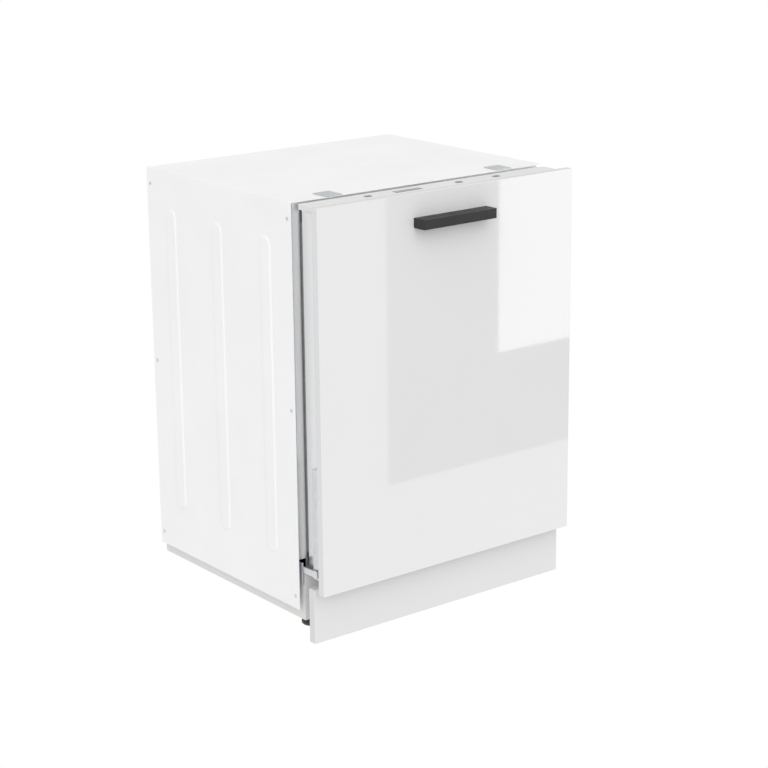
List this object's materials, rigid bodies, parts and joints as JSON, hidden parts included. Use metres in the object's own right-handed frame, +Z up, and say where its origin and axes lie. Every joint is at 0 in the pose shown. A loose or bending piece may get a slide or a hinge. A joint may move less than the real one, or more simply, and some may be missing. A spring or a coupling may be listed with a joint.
{
  "type": "built-in dishwasher",
  "caption": "Fully integrated built-in dishwasher with a plain gloss furniture front, black bar handle, recessed plinth, sliding door linkage, racks and spray arms.",
  "frame": {"origin": "on the floor, in the middle of the overall width and of the overall depth, handle included", "axes": "+X to the viewer's right as one faces the front, +Y from the front to the back, +Z up"},
  "size_m": [0.596, 0.596, 0.813],
  "materials": {
    "front_lacquer": "smooth gloss white lacquer on board",
    "plinth_lacquer": "white lacquer on board, satin to gloss",
    "handle_black": "matt black powder coat",
    "zinc_steel": "galvanised sheet steel, softly spangled",
    "white_steel": "white powder-coated sheet steel",
    "stainless": "fine brushed stainless steel",
    "rack_wire": "grey nylon-coated wire",
    "rail_steel": "polished steel",
    "light_plastic": "fine-grained moulded plastic",
    "grey_plastic": "fine-grained moulded polypropylene",
    "dark_plastic": "fine-grained moulded polypropylene",
    "display_black": "gloss smoked window",
    "cap_blue": "moulded plastic",
    "seal_rubber": "matt grey extruded rubber"
  },
  "bodies": {
    "machine": {"plinth_board": "plinth_lacquer", "plinth_brackets": "zinc_steel", "base_tray": "light_plastic", "hinge_brackets": "zinc_steel", "balance_springs": "rail_steel", "side_panels": "white_steel", "rear_panel": "zinc_steel", "top_panel": "white_steel", "worktop_brackets": "zinc_steel", "tub": "stainless", "tub_floor": "stainless", "front_flange": "stainless", "tub_gasket": "seal_rubber", "latch_striker": "rail_steel", "sump": "dark_plastic", "filter_plate": "stainless", "softener": "light_plastic", "circulation_pump": "dark_plastic", "flow_heater": "stainless", "drain_pump": "grey_plastic", "inlet_valve": "light_plastic", "drain_spigot": "grey_plastic", "terminal_box": "dark_plastic", "arm_post": "grey_plastic", "feed_pipe": "grey_plastic", "lower_tracks": "light_plastic", "upper_rails": "zinc_steel"},
    "door": {"door_outer_sheet": "zinc_steel", "door_inner_panel": "stainless", "door_hinge_arms": "zinc_steel", "door_seal": "seal_rubber", "door_latch": "dark_plastic", "control_fascia": "light_plastic", "display_window": "display_black", "detergent_dispenser": "grey_plastic", "front_carriages": "grey_plastic"},
    "front": {"front_panel": "front_lacquer", "handle": "handle_black", "handle_screws": "zinc_steel", "front_rails": "light_plastic"},
    "power_button": {"button_power": "grey_plastic"},
    "program_button": {"button_program": "grey_plastic"},
    "start_button": {"button_start": "grey_plastic"},
    "dispenser_lid": {"dispenser_lid": "light_plastic"},
    "rinse_aid_cap": {"rinse_aid_cap": "cap_blue"},
    "front_left_foot": {"foot_front_left": "dark_plastic"},
    "front_right_foot": {"foot_front_right": "dark_plastic"},
    "rear_foot": {"foot_rear": "dark_plastic"},
    "filter": {"coarse_filter": "grey_plastic"},
    "salt_cap": {"salt_cap": "grey_plastic"},
    "lower_arm": {"lower_spray_arm": "grey_plastic"},
    "lower_rack": {"lower_rack": "rack_wire", "cutlery_basket": "grey_plastic"},
    "front_wheels": {"front_wheels": "grey_plastic"},
    "rear_wheels": {"rear_wheels": "grey_plastic"},
    "tines": {"plate_tines": "rack_wire"},
    "slides": {"upper_slides": "rail_steel"},
    "upper_rack": {"upper_rack": "rack_wire"},
    "upper_arm": {"upper_spray_arm": "grey_plastic"},
    "cup_shelf": {"cup_shelf": "grey_plastic"}
  },
  "joints": [
    {"name": "door_hinge", "type": "hinge", "parent": "machine", "child": "door", "pos_m": [0, -0.228, 0.13], "axis": [1, 0, 0], "range_deg": [0, 90]},
    {"name": "front_slide", "type": "slide", "parent": "door", "child": "front", "axis": [0, 0, 1], "range_m": [0, 0.063]},
    {"name": "power_press", "type": "slide", "parent": "door", "child": "power_button", "axis": [0, 0, -1], "range_m": [0, 0.0015], "stiffness_N_per_m": 1000},
    {"name": "program_press", "type": "slide", "parent": "door", "child": "program_button", "axis": [0, 0, -1], "range_m": [0, 0.0015], "stiffness_N_per_m": 1000},
    {"name": "start_press", "type": "slide", "parent": "door", "child": "start_button", "axis": [0, 0, -1], "range_m": [0, 0.0015], "stiffness_N_per_m": 1000},
    {"name": "lid_slide", "type": "slide", "parent": "door", "child": "dispenser_lid", "axis": [0, 0, -1], "range_m": [0, 0.064]},
    {"name": "rinse_cap_turn", "type": "hinge", "parent": "door", "child": "rinse_aid_cap", "pos_m": [0.05, -0.19, 0.48], "axis": [0, 1, 0], "range_deg": [0, 90]},
    {"name": "lower_rack_slide", "type": "slide", "parent": "machine", "child": "lower_rack", "axis": [0, -1, 0], "range_m": [0, 0.0865]},
    {"name": "front_wheels_roll", "type": "hinge", "parent": "lower_rack", "child": "front_wheels", "pos_m": [0, -0.154, 0.182], "axis": [1, 0, 0], "range_deg": [0, 310]},
    {"name": "rear_wheels_roll", "type": "hinge", "parent": "lower_rack", "child": "rear_wheels", "pos_m": [0, 0.196, 0.182], "axis": [1, 0, 0], "range_deg": [0, 310]},
    {"name": "tines_fold", "type": "hinge", "parent": "lower_rack", "child": "tines", "pos_m": [0, 0.04, 0.226], "axis": [-1, 0, 0], "range_deg": [0, 80]},
    {"name": "upper_slides_run", "type": "slide", "parent": "machine", "child": "slides", "axis": [0, -1, 0], "range_m": [0, 0.1965]},
    {"name": "upper_rack_slide", "type": "slide", "parent": "slides", "child": "upper_rack", "axis": [0, -1, 0], "range_m": [0, 0.1965]},
    {"name": "cup_shelf_fold", "type": "hinge", "parent": "upper_rack", "child": "cup_shelf", "pos_m": [-0.236, -0.03, 0.575], "axis": [0, -1, 0], "range_deg": [0, 80]},
    {"name": "upper_arm_spin", "type": "hinge", "parent": "upper_rack", "child": "upper_arm", "pos_m": [0, 0.036, 0.43], "axis": [0, 0, 1], "continuous": true},
    {"name": "lower_arm_spin", "type": "hinge", "parent": "machine", "child": "lower_arm", "pos_m": [0, 0.036, 0.1895], "axis": [0, 0, 1], "continuous": true},
    {"name": "filter_turn", "type": "hinge", "parent": "machine", "child": "filter", "pos_m": [0.115, 0.06, 0.17], "axis": [0, 0, 1], "range_deg": [0, 60]},
    {"name": "salt_cap_turn", "type": "hinge", "parent": "machine", "child": "salt_cap", "pos_m": [-0.17, 0.15, 0.165], "axis": [0, 0, 1], "range_deg": [0, 300]},
    {"name": "front_left_foot_turn", "type": "hinge", "parent": "machine", "child": "front_left_foot", "pos_m": [-0.24, -0.15, 0.03], "axis": [0, 0, 1], "continuous": true},
    {"name": "front_right_foot_turn", "type": "hinge", "parent": "machine", "child": "front_right_foot", "pos_m": [0.24, -0.15, 0.03], "axis": [0, 0, 1], "continuous": true},
    {"name": "rear_foot_turn", "type": "hinge", "parent": "machine", "child": "rear_foot", "pos_m": [0, 0.238, 0.03], "axis": [0, 0, 1], "continuous": true}
  ],
  "couplings": [
    {"joint": "front_slide", "follows": "door_hinge", "m_per_rad": 0.04},
    {"joint": "lower_rack_slide", "follows": "door_hinge", "m_per_rad": 0.055},
    {"joint": "front_wheels_roll", "follows": "door_hinge", "ratio": 3.4375},
    {"joint": "rear_wheels_roll", "follows": "door_hinge", "ratio": 3.4375},
    {"joint": "upper_slides_run", "follows": "door_hinge", "m_per_rad": 0.125},
    {"joint": "upper_rack_slide", "follows": "door_hinge", "m_per_rad": 0.125}
  ]
}
